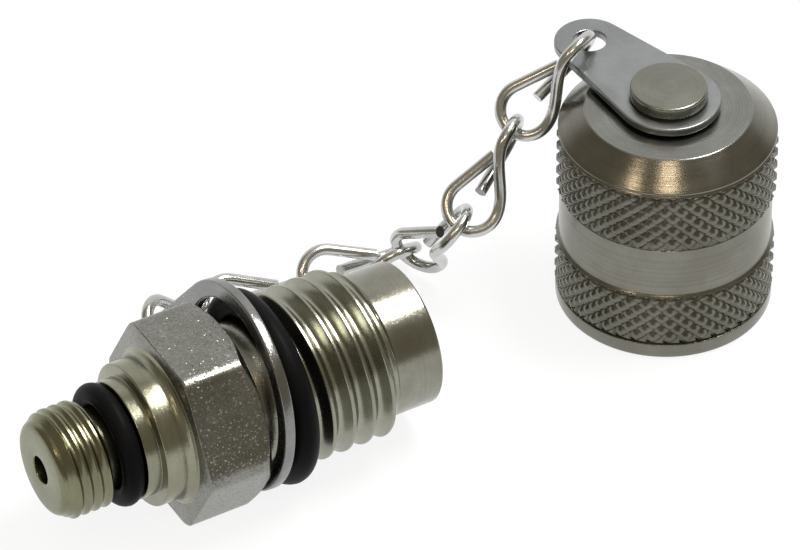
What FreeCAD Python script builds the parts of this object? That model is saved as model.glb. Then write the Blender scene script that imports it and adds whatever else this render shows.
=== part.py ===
import FreeCAD, Part
import math
import os

V = FreeCAD.Vector
X_AXIS = V(1, 0, 0)
Y_AXIS = V(0, 1, 0)
Z_AXIS = V(0, 0, 1)

# Test point coupling, in millimetres. X runs along the body from the port stud to the nose.
# The origin is on the body's axis, in the face that seats on the port. The body lies on a hex flat.

# Port stud: M10x1 thread, undercut with its O-ring, spigot and seating collar
stud_thread_r = 5.0
stud_length = 9.1
stud_end_chamfer = 0.9
stud_undercut_length = 2.65
stud_undercut_r = 3.7
stud_thread_relief = 0.5
spigot_r = 5.5
spigot_length = 1.35
collar_r = 6.65
collar_length = 1.9
collar_edge = 0.2
collar_fillet = 0.8
stud_ring_section_r = 1.0

# Hexagon and the neck that carries the ring tag
hex_across_flats = 17.0
hex_length = 6.5
hex_front_r = 9.4
hex_back_r = 8.6
hex_chamfer_angle = 40.0
neck_r = 6.55
neck_length = 5.4
collar_ring_section_r = 1.3

# Gauge side: M16x2 thread and plain nose
gauge_thread_r = 8.0
gauge_thread_length = 8.3
gauge_thread_chamfer = 0.7
nose_r = 6.65
nose_length = 4.8
nose_edge = 0.35
nose_runout = 0.4

# Bores
passage_r = 1.3
chamber_start = 5.0
chamber_r = 3.2
chamber_length = 11.5
nose_bore_r = 4.8
nose_bore_chamfer = 0.4
drill_point_angle = 118.0
cut_past = 1.0
fit_gap = 0.02
running_gap = 0.08

# Pieces in the nose
bush_length = 5.9
bush_bore_r = 1.7
bush_lead = 0.85
bush_groove_from = 2.1
bush_groove_width = 1.4
bush_seal_section_r = 0.5
probe_seal_section_r = 0.8
probe_seal_room = 0.4
nose_ring_length = 1.4
nose_ring_bore_r = 3.5
nose_ring_lead = 0.7

# Valve
poppet_travel = 2.0
poppet_guide_length = 4.0
poppet_boss_r = 1.75
poppet_pin_r = 1.3
poppet_pin_reach = 0.8
poppet_spigot_r = 1.5
poppet_spigot_length = 2.0
poppet_flat_depth = 0.55
poppet_flat_count = 3
poppet_seal_section_r = 0.55
seal_gap = 0.06
spring_wire_r = 0.35
spring_mean_r = 2.35
spring_spare_turns = 1.5

# Ring tag: slips over the gauge thread, then stands loose on the neck with its rim on the ground
ring_tag_sheet = 1.0
ring_tag_rim = 1.6
ring_tag_play = 0.1
ring_tag_gap = 0.8
ring_tag_rest_gap = 0.1
ring_tag_neck_gap = 0.2
ring_tag_lean = 4.0
ear_reach = 3.8
ear_rim = 1.7
ear_hole_r = 1.5
ear_turn = -23.3
ear_wrap_turn = 71.7

# Chain: a jack chain, each link one wire bent into two loops at right angles
wire_r = 0.55
link_reach = 5.6
link_bend_r = 2.35
link_play = 0.1
link_end_offset = 0.4
link_end_past_middle = 1.8
shank_ease = 2.4
link_count = 6
# How each link hangs, from the ring tag on: swing on the wire before it, then tilt on its own wire
chain_swings = [-93.6, -1.1, 0.9, 36.1, 21.3, -14.4]
chain_tilts = [-37.5, 37.7, 4.7, 73.8, -62.9, 9.7]
lifted_link = 1
most_lift = 40.0
lift_steps = 40

# Screw cap, standing on its open end: rim, knurl, plain band, knurl, rim and cone, from the foot up
cap_r = 10.0
cap_foot_rim_length = 1.6
cap_lower_knurl_length = 5.9
cap_band_length = 5.0
cap_upper_knurl_length = 5.7
cap_top_rim_length = 1.1
cap_cone_length = 2.1
cap_cone_run = 2.33
cap_rim_step = 0.1
cap_band_step = 0.3
cap_step_slope = 0.15
cap_foot_edge = 0.4
cap_mouth_wall = 0.9
cap_mouth_depth = 1.2
cap_thread_height = 1.05
cap_thread_depth = 10.4
cap_relief_step = 0.25
cap_end_wall = 1.4
cap_lead_chamfer = 1.1
cap_seal_thickness = 1.4
cap_seal_dish = 0.4
cap_seal_lip = 1.6

# Cap tag and its rivet
cap_tag_sheet = 0.8
cap_tag_rivet_rim = 1.5
cap_tag_rim = 1.75
cap_tag_overhang = 0.7
cap_tag_hole_r = 1.5
cap_tag_float = 0.3
cap_tag_turn = 100.0
cap_tag_wrap_turn = 198.0
rivet_neck_r = 3.1
rivet_neck_gap = 0.1
rivet_head_step = 0.4
rivet_head_height = 0.85
rivet_head_edge = 0.25
rivet_head_room = 0.45
rivet_shank_step = 1.1
rivet_shank_length = 3.0

# Places worked out from the sizes above
floor_z = -hex_across_flats / 2
hex_start = collar_length + collar_fillet
hex_end = hex_start + hex_length
thread_start = hex_end + neck_length
thread_end = thread_start + gauge_thread_length
nose_end = thread_end + nose_length
chamber_end = chamber_start + chamber_length
bush_end = chamber_end + fit_gap + bush_length
probe_seal_r = nose_bore_r - fit_gap - probe_seal_section_r
nose_ring_start = bush_end + 2 * probe_seal_section_r + probe_seal_room
ring_tag_x = hex_end + ring_tag_gap + ring_tag_sheet / 2
ring_tag_hole_r = gauge_thread_r + ring_tag_play
ring_tag_outer_r = ring_tag_hole_r + ring_tag_rim
ring_tag_lift = min(floor_z + ring_tag_outer_r + ring_tag_rest_gap,
                    ring_tag_hole_r - neck_r - ring_tag_neck_gap)
ear_distance = ring_tag_outer_r + ear_reach
ear_r = ear_hole_r + ear_rim
poppet_boss_end = chamber_end - seal_gap
poppet_shoulder = poppet_boss_end - 2 * poppet_seal_section_r - seal_gap
poppet_guide_start = poppet_shoulder - poppet_guide_length
spring_turns = (poppet_guide_start - chamber_start - poppet_travel) / (2 * spring_wire_r) - spring_spare_turns
cap_band_from = cap_foot_rim_length + cap_lower_knurl_length
cap_band_to = cap_band_from + cap_band_length
cap_knurl_top = cap_band_to + cap_upper_knurl_length
cap_cone_from = cap_knurl_top + cap_top_rim_length
cap_height = cap_cone_from + cap_cone_length
cap_rim_r = cap_r - cap_rim_step
cap_band_r = cap_r - cap_band_step
cap_top_r = cap_rim_r - cap_cone_run
cap_mouth_r = cap_rim_r - cap_mouth_wall
cap_thread_bore_r = gauge_thread_r - cap_thread_height
cap_relief_r = cap_thread_bore_r + cap_relief_step
cap_depth = cap_height - rivet_shank_length - cap_end_wall
cap_base_z = floor_z
cap_top_z = cap_base_z + cap_height
cap_tag_z = cap_top_z + cap_tag_float + cap_tag_sheet / 2
cap_tag_distance = cap_r + cap_tag_overhang
cap_tag_small_r = cap_tag_hole_r + cap_tag_rim
rivet_tag_hole_r = rivet_neck_r + rivet_neck_gap
cap_tag_big_r = rivet_tag_hole_r + cap_tag_rivet_rim
rivet_neck_height = cap_tag_float + cap_tag_sheet + rivet_head_room
rivet_head_r = rivet_neck_r + rivet_head_step
rivet_shank_r = rivet_neck_r - rivet_shank_step


def turned(points, axis=X_AXIS):
    """Solid turned from (along, radius) points about X, or about Z when asked."""
    if axis == X_AXIS:
        corners = [V(along, radius, 0) for along, radius in points]
    else:
        corners = [V(radius, 0, along) for along, radius in points]
    face = Part.Face(Part.makePolygon(corners + corners[:1]))
    return face.revolve(V(0, 0, 0), axis, 360)


def round_ring(centre_x, ring_r, section_r):
    ring = Part.makeTorus(ring_r, section_r)
    ring.rotate(V(0, 0, 0), Y_AXIS, 90)
    ring.translate(V(centre_x, 0, 0))
    return ring


def hexagon():
    """Hex prism with a flat up and a flat down, its corners turned off, more on the nose side."""
    corner_r = hex_across_flats / math.sqrt(3)
    corners = [V(hex_start, corner_r * math.cos(math.radians(60 * k)), corner_r * math.sin(math.radians(60 * k)))
               for k in range(7)]
    prism = Part.Face(Part.makePolygon(corners)).extrude(V(hex_length, 0, 0))
    slope = math.tan(math.radians(hex_chamfer_angle))
    limit = turned([
        (hex_start, 0),
        (hex_start, hex_front_r),
        (hex_start + (corner_r - hex_front_r) * slope, corner_r),
        (hex_end - (corner_r - hex_back_r) * slope, corner_r),
        (hex_end, hex_back_r),
        (hex_end, 0)])
    return prism.common(limit)


def collar_flare():
    """Fillet between the collar and the hexagon, as a turned solid with a concave arc."""
    start = V(collar_length, collar_r, 0)
    end = V(hex_start, collar_r + collar_fillet, 0)
    middle_turn = math.radians(45)
    middle = V(collar_length + collar_fillet * math.sin(middle_turn),
               collar_r + collar_fillet * (1 - math.cos(middle_turn)), 0)
    edges = [Part.Arc(start, middle, end).toShape(),
             Part.LineSegment(end, V(hex_start, 0, 0)).toShape(),
             Part.LineSegment(V(hex_start, 0, 0), V(collar_length, 0, 0)).toShape(),
             Part.LineSegment(V(collar_length, 0, 0), start).toShape()]
    return Part.Face(Part.Wire(edges)).revolve(V(0, 0, 0), X_AXIS, 360)


def coupling_body():
    undercut_end = -spigot_length
    undercut_start = undercut_end - stud_undercut_length
    stud = turned([
        (-stud_length, 0),
        (-stud_length, stud_thread_r - stud_end_chamfer),
        (-stud_length + stud_end_chamfer, stud_thread_r),
        (undercut_start - stud_thread_relief, stud_thread_r),
        (undercut_start, stud_undercut_r),
        (undercut_end, stud_undercut_r),
        (undercut_end, spigot_r),
        (0, spigot_r),
        (0, collar_r - collar_edge),
        (collar_edge, collar_r),
        (collar_length, collar_r),
        (collar_length, 0)])
    gauge_side = turned([
        (hex_end, 0),
        (hex_end, neck_r),
        (thread_start, neck_r),
        (thread_start + gauge_thread_chamfer, gauge_thread_r),
        (thread_end - gauge_thread_chamfer, gauge_thread_r),
        (thread_end + nose_runout, nose_r),
        (nose_end - nose_edge, nose_r),
        (nose_end, nose_r - nose_edge),
        (nose_end, 0)])
    cone_length = (chamber_r - passage_r) / math.tan(math.radians(drill_point_angle / 2))
    bore = turned([
        (-stud_length - cut_past, 0),
        (-stud_length - cut_past, passage_r),
        (chamber_start - cone_length, passage_r),
        (chamber_start, chamber_r),
        (chamber_end, chamber_r),
        (chamber_end, nose_bore_r),
        (nose_end - nose_bore_chamfer, nose_bore_r),
        (nose_end, nose_bore_r + nose_bore_chamfer),
        (nose_end + cut_past, nose_bore_r + nose_bore_chamfer),
        (nose_end + cut_past, 0)])
    return stud.fuse([collar_flare(), hexagon(), gauge_side]).cut(bore).removeSplitter()


def valve_bush():
    start = chamber_end + fit_gap
    outer_r = nose_bore_r - fit_gap
    groove_start = start + bush_groove_from
    groove_end = groove_start + bush_groove_width
    groove_r = outer_r - 2 * bush_seal_section_r - fit_gap
    return turned([
        (start, bush_bore_r),
        (start, outer_r),
        (groove_start, outer_r),
        (groove_start, groove_r),
        (groove_end, groove_r),
        (groove_end, outer_r),
        (bush_end, outer_r),
        (bush_end, bush_bore_r + bush_lead),
        (bush_end - bush_lead, bush_bore_r)])


def bush_seal():
    centre = chamber_end + fit_gap + bush_groove_from + bush_groove_width / 2
    return round_ring(centre, nose_bore_r - fit_gap - bush_seal_section_r, bush_seal_section_r)


def probe_seal():
    centre = bush_end + probe_seal_room / 2 + probe_seal_section_r
    return round_ring(centre, probe_seal_r, probe_seal_section_r)


def nose_ring():
    end = nose_ring_start + nose_ring_length
    return turned([
        (nose_ring_start, nose_ring_bore_r),
        (nose_ring_start, nose_bore_r - fit_gap),
        (end, nose_bore_r - fit_gap),
        (end, nose_ring_bore_r + nose_ring_lead),
        (end - nose_ring_lead, nose_ring_bore_r)])


def valve_poppet():
    """Poppet with a spring spigot behind, a guide with flow flats, a sealing boss and a long pin."""
    guide_r = chamber_r - running_gap
    poppet = turned([
        (poppet_guide_start - poppet_spigot_length, 0),
        (poppet_guide_start - poppet_spigot_length, poppet_spigot_r),
        (poppet_guide_start, poppet_spigot_r),
        (poppet_guide_start, guide_r),
        (poppet_shoulder, guide_r),
        (poppet_shoulder, poppet_boss_r),
        (poppet_boss_end, poppet_boss_r),
        (poppet_boss_end, poppet_pin_r),
        (bush_end - poppet_pin_reach, poppet_pin_r),
        (bush_end - poppet_pin_reach, 0)])
    for k in range(poppet_flat_count):
        flat = Part.makeBox(poppet_guide_length + 2 * cut_past, 2 * guide_r, guide_r,
                            V(poppet_guide_start - cut_past, -guide_r, guide_r - poppet_flat_depth))
        flat.rotate(V(0, 0, 0), X_AXIS, 360 * k / poppet_flat_count)
        poppet = poppet.cut(flat)
    return poppet


def poppet_seal():
    centre = poppet_boss_end - poppet_seal_section_r
    return round_ring(centre, poppet_boss_r + fit_gap + poppet_seal_section_r, poppet_seal_section_r)


def valve_spring():
    first = chamber_start + spring_wire_r + fit_gap
    last = poppet_guide_start - spring_wire_r - fit_gap
    helix = Part.makeHelix((last - first) / spring_turns, last - first, spring_mean_r)
    section = Part.Wire(Part.makeCircle(spring_wire_r, V(spring_mean_r, 0, 0), Y_AXIS))
    spring = Part.Wire(helix).makePipeShell([section], True, True)
    spring.rotate(V(0, 0, 0), Y_AXIS, 90)
    spring.translate(V(first, 0, 0))
    return spring


def tag_plate(big_r, small_r, distance, sheet, big_hole_r, small_hole_r):
    """Sheet with a large round end at the origin and a small one along +X, its middle plane at z = 0."""
    lean = math.asin((big_r - small_r) / distance)
    across = math.pi / 2 - lean

    def rim_point(centre_x, radius, turn):
        return V(centre_x + radius * math.cos(turn), radius * math.sin(turn), -sheet / 2)

    big_top = rim_point(0, big_r, across)
    big_bottom = rim_point(0, big_r, -across)
    small_top = rim_point(distance, small_r, across)
    small_bottom = rim_point(distance, small_r, -across)
    outline = Part.Wire([
        Part.Arc(big_top, rim_point(0, big_r, math.pi), big_bottom).toShape(),
        Part.LineSegment(big_bottom, small_bottom).toShape(),
        Part.Arc(small_bottom, rim_point(distance, small_r, 0), small_top).toShape(),
        Part.LineSegment(small_top, big_top).toShape()])
    plate = Part.Face(outline).extrude(V(0, 0, sheet))
    for centre_x, hole_r in ((0, big_hole_r), (distance, small_hole_r)):
        plate = plate.cut(Part.makeCylinder(hole_r, 2 * sheet, V(centre_x, 0, -sheet)))
    return plate


def rotation(columns):
    """Rotation whose matrix has these three unit vectors as its columns."""
    a, b, c = columns
    return FreeCAD.Rotation(FreeCAD.Matrix(a.x, b.x, c.x, 0, a.y, b.y, c.y, 0, a.z, b.z, c.z, 0, 0, 0, 0, 1))


def ring_tag_place(lean):
    """Where the ring tag hangs: its plate square to X, its ear out at ear_turn, leaning by lean."""
    turn = math.radians(ear_turn)
    outward = V(0, math.cos(turn), math.sin(turn))
    square = FreeCAD.Placement(V(ring_tag_x, 0, ring_tag_lift), rotation([outward, X_AXIS.cross(outward), X_AXIS]))
    tip = FreeCAD.Placement(V(0, 0, 0), FreeCAD.Rotation(Y_AXIS, lean), V(ring_tag_x, 0, ring_tag_lift))
    return tip.multiply(square)


def rim_frame(hole_place, wrap_turn, hole_r, end_r):
    """Frame in the middle of the sheet beside a chain hole: Z points back at the hole, Y along the rim."""
    turn = math.radians(wrap_turn)
    outward = V(math.cos(turn), math.sin(turn), 0)
    along = V(-math.sin(turn), math.cos(turn), 0)
    middle = outward * ((hole_r + end_r) / 2)
    local = FreeCAD.Placement(middle, rotation([along.cross(outward * -1), along, outward * -1]))
    return hole_place.multiply(local)


def shift_z(distance):
    return FreeCAD.Placement(V(0, 0, distance), FreeCAD.Rotation())


def turn_about(axis, degrees):
    return FreeCAD.Placement(V(0, 0, 0), FreeCAD.Rotation(axis, degrees))


loop_centre = link_reach - link_bend_r
wire_spacing = 2 * wire_r + link_play


def next_link(place, swing, tilt):
    """The next link's frame: it swings on the wire it hangs on and tilts on its own wire."""
    steps = [shift_z(-link_reach), turn_about(Y_AXIS, swing), shift_z(wire_spacing),
             turn_about(X_AXIS, tilt), shift_z(-link_reach)]
    for step in steps:
        place = place.multiply(step)
    return place


def chain_places(swings):
    """Frames of all links, from the ring tag's ear to the cap, for these swings."""
    ear = ring_tag_place(0).multiply(FreeCAD.Placement(V(ear_distance, 0, 0), FreeCAD.Rotation()))
    place = rim_frame(ear, ear_wrap_turn, ear_hole_r, ear_r)
    for step in (turn_about(Y_AXIS, swings[0]), turn_about(X_AXIS, chain_tilts[0]), shift_z(-loop_centre)):
        place = place.multiply(step)
    places = [place]
    for swing, tilt in zip(swings[1:], chain_tilts[1:]):
        place = next_link(place, swing, tilt)
        places.append(place)
    return places


def chain_end(places):
    return places[-1].multVec(V(0, 0, -loop_centre))


def level_chain():
    """Lifts the chain at one link until its far end stands level with the tag on the cap."""
    def lifted(turn):
        swings = list(chain_swings)
        swings[lifted_link] += turn
        return chain_places(swings)

    low, high = -most_lift, most_lift
    rising = chain_end(lifted(high)).z > chain_end(lifted(low)).z
    for _ in range(lift_steps):
        middle = (low + high) / 2
        if (chain_end(lifted(middle)).z < cap_tag_z) == rising:
            low = middle
        else:
            high = middle
    return lifted((low + high) / 2)


def tangent_point(point):
    """Where the straight wire from a point in the loop's plane meets the bend."""
    reach = V(0, 0, loop_centre) - point
    distance = reach.Length
    heading = math.atan2(reach.z, reach.x) + math.asin(link_bend_r / distance)
    run = math.sqrt(distance ** 2 - link_bend_r ** 2)
    return point + V(math.cos(heading), 0, math.sin(heading)) * run


def loop_path():
    """Blunt end, start, top and end of the bend of one loop, in the XZ plane."""
    end = V(-link_end_offset, 0, -link_end_past_middle)
    return end, tangent_point(end), V(0, 0, link_reach), V(link_bend_r, 0, loop_centre)


def chain_link():
    """One wire: a loop in the XZ plane, a slanting shank and a second loop in the YZ plane."""
    end, bend_in, apex, bend_out = loop_path()

    def lower(point):
        return V(0, point.x, -point.z)

    ease = V(0, 0, shank_ease)
    shank = Part.BezierCurve()
    shank.setPoles([bend_out, bend_out - ease, lower(bend_out) + ease, lower(bend_out)])
    edges = [
        Part.LineSegment(end, bend_in).toShape(),
        Part.Arc(bend_in, apex, bend_out).toShape(),
        shank.toShape(),
        Part.Arc(lower(bend_out), lower(apex), lower(bend_in)).toShape(),
        Part.LineSegment(lower(bend_in), lower(end)).toShape()]
    path = Part.Wire(edges)
    section = Part.Wire(Part.makeCircle(wire_r, end, bend_in - end))
    return path.makePipeShell([section], True, False)


def cap_section():
    """Outline of the cap in (height, radius), outside from the foot up and then the bore down."""
    return [
        (0, cap_mouth_r),
        (0, cap_rim_r - cap_foot_edge),
        (cap_foot_edge, cap_rim_r),
        (cap_foot_rim_length, cap_rim_r),
        (cap_foot_rim_length + cap_step_slope, cap_r),
        (cap_band_from - cap_step_slope, cap_r),
        (cap_band_from, cap_band_r),
        (cap_band_to, cap_band_r),
        (cap_band_to + cap_step_slope, cap_r),
        (cap_knurl_top, cap_r),
        (cap_knurl_top + cap_step_slope, cap_rim_r),
        (cap_cone_from, cap_rim_r),
        (cap_height, cap_top_r),
        (cap_height, rivet_shank_r + fit_gap),
        (cap_height - rivet_shank_length - fit_gap, rivet_shank_r + fit_gap),
        (cap_height - rivet_shank_length - fit_gap, 0),
        (cap_depth, 0),
        (cap_depth, cap_relief_r),
        (cap_mouth_depth + cap_thread_depth, cap_relief_r),
        (cap_mouth_depth + cap_thread_depth, cap_thread_bore_r),
        (cap_mouth_depth + cap_lead_chamfer, cap_thread_bore_r),
        (cap_mouth_depth, cap_thread_bore_r + cap_lead_chamfer),
        (cap_mouth_depth, cap_mouth_r)]


def screw_cap():
    return turned(cap_section(), Z_AXIS)


def cap_seal():
    top = cap_depth - fit_gap
    bottom = top - cap_seal_thickness
    outer_r = cap_relief_r - fit_gap
    return turned([
        (bottom, outer_r),
        (top, outer_r),
        (top, 0),
        (bottom + cap_seal_dish, 0),
        (bottom + cap_seal_dish, outer_r - cap_seal_lip),
        (bottom, outer_r - cap_seal_lip + cap_seal_dish)], Z_AXIS)


def cap_rivet():
    head_bottom = cap_height + rivet_neck_height
    head_top = head_bottom + rivet_head_height
    return turned([
        (cap_height - rivet_shank_length, 0),
        (cap_height - rivet_shank_length, rivet_shank_r),
        (cap_height, rivet_shank_r),
        (cap_height, rivet_neck_r),
        (head_bottom, rivet_neck_r),
        (head_bottom, rivet_head_r),
        (head_top - rivet_head_edge, rivet_head_r),
        (head_top, rivet_head_r - rivet_head_edge),
        (head_top, 0)], Z_AXIS)


def placed(shape, place):
    copy = shape.copy()
    copy.Placement = place.multiply(copy.Placement)
    return copy


def cap_tag_place(end):
    """The cap tag lies level, with the middle of its rim in the last link's loop."""
    wrap = math.radians(cap_tag_wrap_turn)
    turn = math.radians(cap_tag_turn)
    rim_middle = (cap_tag_hole_r + cap_tag_small_r) / 2
    hole = V(end.x, end.y, cap_tag_z) - V(math.cos(wrap), math.sin(wrap), 0) * rim_middle
    rivet = hole - V(math.cos(turn), math.sin(turn), 0) * cap_tag_distance
    return FreeCAD.Placement(rivet, FreeCAD.Rotation(Z_AXIS, cap_tag_turn))


def build():
    links = level_chain()
    tag_on_cap = cap_tag_place(chain_end(links))
    cap_place = FreeCAD.Placement(V(tag_on_cap.Base.x, tag_on_cap.Base.y, cap_base_z), FreeCAD.Rotation())
    stud_ring_x = -spigot_length - stud_ring_section_r - seal_gap
    collar_ring_x = thread_start - gauge_thread_chamfer / 2 - collar_ring_section_r
    nodes = {
        "coupling_body": coupling_body(),
        "stud_o_ring": round_ring(stud_ring_x, stud_undercut_r + fit_gap + stud_ring_section_r, stud_ring_section_r),
        "collar_o_ring": round_ring(collar_ring_x, neck_r + fit_gap + collar_ring_section_r, collar_ring_section_r),
        "valve_bush": valve_bush(),
        "bush_seal": bush_seal(),
        "probe_seal": probe_seal(),
        "nose_ring": nose_ring(),
        "valve_poppet": valve_poppet(),
        "poppet_seal": poppet_seal(),
        "valve_spring": valve_spring(),
        "body_ring_tag": placed(
            tag_plate(ring_tag_outer_r, ear_r, ear_distance, ring_tag_sheet, ring_tag_hole_r, ear_hole_r),
            ring_tag_place(ring_tag_lean)),
        "cap_tag": placed(
            tag_plate(cap_tag_big_r, cap_tag_small_r, cap_tag_distance, cap_tag_sheet,
                      rivet_tag_hole_r, cap_tag_hole_r),
            tag_on_cap),
        "screw_cap": placed(screw_cap(), cap_place),
        "cap_seal": placed(cap_seal(), cap_place),
        "cap_rivet": placed(cap_rivet(), cap_place)}
    link = chain_link()
    for number, place in zip(range(link_count, 0, -1), links):
        nodes["chain_link_%d" % number] = placed(link, place)
    return nodes


def main():
    os.makedirs("parts", exist_ok=True)
    for name, shape in build().items():
        solid = shape.Solids[0] if len(shape.Solids) == 1 else shape
        print("%-16s solids %d valid %s volume %.2f" % (name, len(shape.Solids), shape.isValid(), shape.Volume))
        solid.exportStep("parts/%s.step" % name)


main()
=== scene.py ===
import bpy
import bmesh
import math
from mathutils import Matrix, Quaternion, Vector


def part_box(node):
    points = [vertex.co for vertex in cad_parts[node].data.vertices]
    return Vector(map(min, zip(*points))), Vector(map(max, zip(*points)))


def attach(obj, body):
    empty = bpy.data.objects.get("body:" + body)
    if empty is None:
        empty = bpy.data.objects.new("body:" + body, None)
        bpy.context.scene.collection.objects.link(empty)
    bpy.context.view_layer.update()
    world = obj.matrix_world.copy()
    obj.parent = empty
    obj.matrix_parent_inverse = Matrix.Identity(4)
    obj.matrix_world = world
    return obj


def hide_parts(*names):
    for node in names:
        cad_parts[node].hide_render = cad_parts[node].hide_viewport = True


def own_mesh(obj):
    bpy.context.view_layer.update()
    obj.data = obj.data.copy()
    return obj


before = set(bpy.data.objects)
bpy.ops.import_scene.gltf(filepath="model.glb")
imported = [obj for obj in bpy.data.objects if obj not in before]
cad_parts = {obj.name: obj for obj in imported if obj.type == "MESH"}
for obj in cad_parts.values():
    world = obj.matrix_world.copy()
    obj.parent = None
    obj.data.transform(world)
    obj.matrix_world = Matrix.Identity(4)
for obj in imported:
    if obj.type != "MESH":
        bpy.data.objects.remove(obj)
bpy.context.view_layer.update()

mm = 0.001

scene = bpy.context.scene
axisX = Vector((1, 0, 0))
axisZ = Vector((0, 0, 1))
fullTurn = 2 * math.pi
places = {"floor": -8.5, "capX": 56.0057, "capY": 1.9166}  # a hex flat and the cap's foot stand on the floor
capCentre = Vector((places["capX"], places["capY"], places["floor"]))


# Node helpers, for materials and for Geometry Nodes

def addNode(tree, kind, **settings):
    node = tree.nodes.new(kind)
    for key, value in settings.items():
        setattr(node, key, value)
    return node


def plug(tree, value, socket):
    if isinstance(value, bpy.types.NodeSocket):
        tree.links.new(value, socket)
    else:
        socket.default_value = value


def calc(tree, operation, *values):
    node = addNode(tree, "ShaderNodeMath", operation=operation)
    for value, socket in zip(values, node.inputs):
        plug(tree, value, socket)
    return node.outputs[0]


def plus(tree, a, b):
    return calc(tree, "ADD", a, b)


def minus(tree, a, b):
    return calc(tree, "SUBTRACT", a, b)


def times(tree, a, b):
    return calc(tree, "MULTIPLY", a, b)


def over(tree, a, b):
    return calc(tree, "DIVIDE", a, b)


def larger(tree, a, b):
    return calc(tree, "MAXIMUM", a, b)


def smaller(tree, a, b):
    return calc(tree, "MINIMUM", a, b)


def held(tree, value, low, high):
    return smaller(tree, larger(tree, value, low), high)


def fromAxis(tree, a, b):
    return calc(tree, "SQRT", plus(tree, times(tree, a, a), times(tree, b, b)))


def stepped(tree, value, low, high):
    node = addNode(tree, "ShaderNodeMapRange", interpolation_type="SMOOTHSTEP")
    for entry, socket in ((value, "Value"), (low, "From Min"), (high, "From Max")):
        plug(tree, entry, node.inputs[socket])
    return node.outputs["Result"]


def joined(tree, x, y, z):
    node = addNode(tree, "ShaderNodeCombineXYZ")
    for value, socket in zip((x, y, z), node.inputs):
        plug(tree, value, socket)
    return node.outputs[0]


def split(tree, vector):
    node = addNode(tree, "ShaderNodeSeparateXYZ")
    tree.links.new(vector, node.inputs[0])
    return node.outputs[0], node.outputs[1], node.outputs[2]


def vectorCalc(tree, operation, *values):
    node = addNode(tree, "ShaderNodeVectorMath", operation=operation)
    for value, socket in zip(values, node.inputs):
        plug(tree, value, socket)
    return node.outputs[0]


def mixed(tree, factor, a, b, blend="MIX"):
    node = addNode(tree, "ShaderNodeMix", data_type="RGBA", blend_type=blend)
    for value, socket in ((factor, 0), (a, 6), (b, 7)):
        plug(tree, value, node.inputs[socket])
    return node.outputs[2]


def colour(r, g, b):
    return (r, g, b, 1.0)


def dulled(tone, share):
    return colour(*[c * share for c in tone])


# Materials: each reads Object coordinates, centred on the axis of the piece it covers

def noise(tree, vector, scale, detail=2.0, roughness=0.5, dimensions="3D"):
    node = addNode(tree, "ShaderNodeTexNoise", noise_dimensions=dimensions)
    tree.links.new(vector, node.inputs["Vector"])
    node.inputs["Scale"].default_value = scale
    node.inputs["Detail"].default_value = detail
    node.inputs["Roughness"].default_value = roughness
    return node.outputs["Fac"]


def centred(tree, centre):
    source = addNode(tree, "ShaderNodeTexCoord")
    mapping = addNode(tree, "ShaderNodeMapping")
    mapping.inputs["Location"].default_value = [-c * mm for c in centre]
    tree.links.new(source.outputs["Object"], mapping.inputs["Vector"])
    return mapping.outputs[0]


def newMaterial(name):
    material = bpy.data.materials.new(name)
    material.use_nodes = True
    tree = material.node_tree
    tree.nodes.clear()
    shader = addNode(tree, "ShaderNodeBsdfPrincipled")
    output = addNode(tree, "ShaderNodeOutputMaterial")
    tree.links.new(shader.outputs[0], output.inputs["Surface"])
    return material, tree, shader


def bumped(tree, height, distance):
    bump = addNode(tree, "ShaderNodeBump")
    bump.inputs["Strength"].default_value = 1.0
    bump.inputs["Distance"].default_value = distance
    tree.links.new(height, bump.inputs["Height"])
    return bump.outputs[0]


# What a metal finish has unless its own entry says otherwise; zones are lengths along the axis with a tint
metalLook = {
    "axis": "X", "centre": (0, 0, 0), "zones": (), "zoneEdge": 0.05,
    "cloudScale": 220, "roughSpread": 0.12,
    "spotScale": 900, "spotting": 0.25,
    "grainScale": 5200, "grainTone": 0.12, "grainRough": 0.12, "grainDepth": 0.4,
    "ringScale": 5200, "ringTone": 0.15, "ringDepth": 0.5,
    "waveScale": 620, "waveDepth": 1.0, "bump": 6e-6,
    "sparkle": 0.0, "sparkleScale": 8500, "sparkleFrom": 0.5, "sparkleFull": 0.72, "sparklePick": 0.8,
}


def metalPatterns(tree, look):
    place = centred(tree, look["centre"])
    x, y, z = split(tree, place)
    if look["axis"] == "X":
        along, across, up = x, y, z
    else:
        along, across, up = z, x, y
    turning = joined(tree, along, fromAxis(tree, across, up), 0.0)
    return {
        "place": place,
        "along": along,
        "cloud": noise(tree, place, look["cloudScale"], 4, 0.6),
        "grain": noise(tree, place, look["grainScale"], 3, 0.6),
        "spots": noise(tree, place, look["spotScale"]),
        "rings": noise(tree, turning, look["ringScale"], 3, 0.7, "2D"),
    }


def metalTone(tree, look, pattern):
    clouding = stepped(tree, pattern["cloud"], 0.35, 0.68)
    tone = mixed(tree, clouding, colour(*look["dark"]), colour(*look["light"]))
    layers = (
        (pattern["spots"], 0.6, 0.78, look["spotting"], colour(*look["spot"])),
        (pattern["grain"], 0.35, 0.65, look["grainTone"], dulled(look["dark"], 0.55)),
        (pattern["rings"], 0.45, 0.7, look["ringTone"], dulled(look["dark"], 0.6)),
    )
    for source, low, high, share, shade in layers:
        tone = mixed(tree, times(tree, stepped(tree, source, low, high), share), tone, shade)
    for low, high, tint in look["zones"]:
        begun = stepped(tree, pattern["along"], (low - look["zoneEdge"]) * mm, low * mm)
        ended = stepped(tree, pattern["along"], high * mm, (high + look["zoneEdge"]) * mm)
        inside = times(tree, begun, minus(tree, 1.0, ended))
        tone = mixed(tree, inside, tone, mixed(tree, 1.0, tone, colour(*tint), "MULTIPLY"))
    return tone


def metalRoughness(tree, look, pattern):
    rough = look["rough"]
    for source, spread in ((pattern["cloud"], look["roughSpread"]), (pattern["grain"], look["grainRough"])):
        rough = plus(tree, rough, times(tree, minus(tree, source, 0.5), spread))
    return rough


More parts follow.
